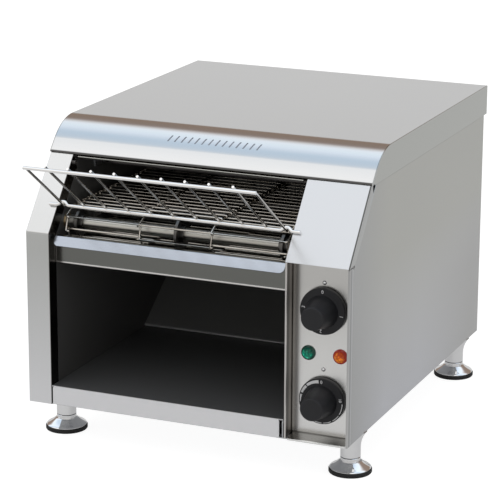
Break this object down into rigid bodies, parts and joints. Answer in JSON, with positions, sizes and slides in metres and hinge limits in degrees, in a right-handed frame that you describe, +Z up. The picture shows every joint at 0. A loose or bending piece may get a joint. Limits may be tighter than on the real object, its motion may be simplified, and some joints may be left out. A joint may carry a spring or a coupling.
{
  "type": "conveyor toaster",
  "caption": "Countertop conveyor toaster: sheet-steel cabinet on levelling feet with a wire belt, a tilting feed rack, a pull-out tray and a recessed control column with knobs and lamps.",
  "frame": {"origin": "centre of the bounding box at the level of the table", "axes": "+X to the right seen from the front, +Y from the feed rack towards the back, +Z up"},
  "size_m": [0.38, 0.5158, 0.342],
  "materials": {
    "lid_steel": "satin polished lid sheet",
    "panel_steel": "satin cabinet sheet",
    "face_steel": "satin control panel sheet",
    "oven_steel": "heat-dulled dark oven sheet",
    "divider_steel": "satin divider sheet",
    "reflector_steel": "bright reflector sheet",
    "tray_steel": "satin tray sheet",
    "pan_steel": "plain galvanised sheet",
    "rack_chrome": "bright chrome-plated wire",
    "belt_steel": "drawn stainless wire",
    "shaft_steel": "ground steel with a brown heat tint",
    "wheel_steel": "machined steel",
    "chain_steel": "oiled roller chain steel",
    "bushing_bronze": "sintered bronze",
    "motor_grey": "grey enamel",
    "element_sheath": "oxidised heater sheath",
    "ceramic_white": "white glazed insulator",
    "wool_tan": "pressed mineral wool",
    "screw_zinc": "zinc-plated screws",
    "knob_black": "fine matt black",
    "mark_white": "printed light grey",
    "lens_green": "tinted faceted lens",
    "lens_amber": "tinted faceted lens",
    "switch_ivory": "moulded switch body",
    "spindle_steel": "turned steel",
    "black_plastic": "black moulded plastic",
    "foot_chrome": "polished chrome",
    "foot_rubber": "black rubber"
  },
  "bodies": {
    "cabinet": {"base_pan": "pan_steel", "tray_guides": "pan_steel", "side_panel_left": "panel_steel", "side_panel_right": "panel_steel", "left_column": "panel_steel", "slope_cover": "panel_steel", "left_liner": "oven_steel", "divider_wall": "divider_steel", "rear_panel": "pan_steel", "rear_baffle": "oven_steel", "top_cover": "lid_steel", "top_insulation": "wool_tan", "panel_screws": "screw_zinc", "control_panel": "face_steel", "upper_reflector": "reflector_steel", "lower_reflector": "reflector_steel", "return_chute": "tray_steel", "conveyor_belt": "belt_steel", "belt_drive_wrap": "belt_steel", "shaft_bushings": "bushing_bronze", "drive_chain": "chain_steel", "gear_motor": "motor_grey", "motor_bracket": "pan_steel", "upper_elements": "element_sheath", "lower_elements": "element_sheath", "element_brackets": "pan_steel", "element_terminals": "ceramic_white", "fan_frame": "black_plastic", "selector_switch": "switch_ivory", "speed_control": "switch_ivory", "lamp_green": "lens_green", "lamp_amber": "lens_amber", "lamp_housings": "switch_ivory", "thermal_cutout": "black_plastic", "terminal_block": "ceramic_white", "cable_gland": "black_plastic", "legs": "foot_chrome"},
    "tray": {"collection_tray": "tray_steel"},
    "rack": {"feed_rack": "rack_chrome"},
    "front_roller": {"front_shaft": "shaft_steel", "front_wheels": "wheel_steel"},
    "drive_roller": {"drive_shaft": "shaft_steel", "drive_sprockets": "wheel_steel", "driven_chain_wheel": "wheel_steel"},
    "motor_output": {"motor_chain_wheel": "wheel_steel"},
    "fan": {"fan_impeller": "black_plastic"},
    "selector": {"selector_spindle": "spindle_steel", "selector_knob": "knob_black", "selector_marks": "mark_white"},
    "speed": {"speed_spindle": "spindle_steel", "speed_knob": "knob_black", "speed_marks": "mark_white"},
    "foot_fl": {"foot_front_left": "foot_chrome", "foot_rings_fl": "foot_rubber"},
    "foot_fr": {"foot_front_right": "foot_chrome", "foot_rings_fr": "foot_rubber"},
    "foot_rl": {"foot_rear_left": "foot_chrome", "foot_rings_rl": "foot_rubber"},
    "foot_rr": {"foot_rear_right": "foot_chrome", "foot_rings_rr": "foot_rubber"}
  },
  "joints": [
    {"name": "tray_slide", "type": "slide", "parent": "cabinet", "child": "tray", "axis": [0, -1, 0], "range_m": [0, 0.2]},
    {"name": "rack_tilt", "type": "hinge", "parent": "cabinet", "child": "rack", "pos_m": [0, -0.17376, 0.2632], "axis": [-1, 0, 0], "range_deg": [0, 50]},
    {"name": "drive_turn", "type": "hinge", "parent": "cabinet", "child": "drive_roller", "pos_m": [0, 0.12929, 0.2405], "axis": [-1, 0, 0], "continuous": true, "deforming": ["belt_drive_wrap", "drive_chain"]},
    {"name": "front_turn", "type": "hinge", "parent": "cabinet", "child": "front_roller", "pos_m": [0, -0.15011, 0.2405], "axis": [-1, 0, 0], "continuous": true},
    {"name": "motor_turn", "type": "hinge", "parent": "cabinet", "child": "motor_output", "pos_m": [0, 0.06889, 0.144], "axis": [-1, 0, 0], "continuous": true},
    {"name": "fan_turn", "type": "hinge", "parent": "cabinet", "child": "fan", "pos_m": [0.14827, 0.23689, 0.227], "axis": [0, 1, 0], "continuous": true},
    {"name": "selector_turn", "type": "hinge", "parent": "cabinet", "child": "selector", "pos_m": [0.14933, -0.19312, 0.1847], "axis": [0, 1, 0], "range_deg": [0, 270]},
    {"name": "speed_turn", "type": "hinge", "parent": "cabinet", "child": "speed", "pos_m": [0.14933, -0.19312, 0.0884], "axis": [0, 1, 0], "range_deg": [0, 300]},
    {"name": "foot_fl_level", "type": "slide", "parent": "cabinet", "child": "foot_fl", "axis": [0, 0, -1], "range_m": [0, 0.012]},
    {"name": "foot_fr_level", "type": "slide", "parent": "cabinet", "child": "foot_fr", "axis": [0, 0, -1], "range_m": [0, 0.012]},
    {"name": "foot_rl_level", "type": "slide", "parent": "cabinet", "child": "foot_rl", "axis": [0, 0, -1], "range_m": [0, 0.012]},
    {"name": "foot_rr_level", "type": "slide", "parent": "cabinet", "child": "foot_rr", "axis": [0, 0, -1], "range_m": [0, 0.012]}
  ],
  "couplings": [
    {"joint": "front_turn", "follows": "drive_turn", "ratio": 1},
    {"joint": "motor_turn", "follows": "drive_turn", "ratio": 1.6667}
  ]
}
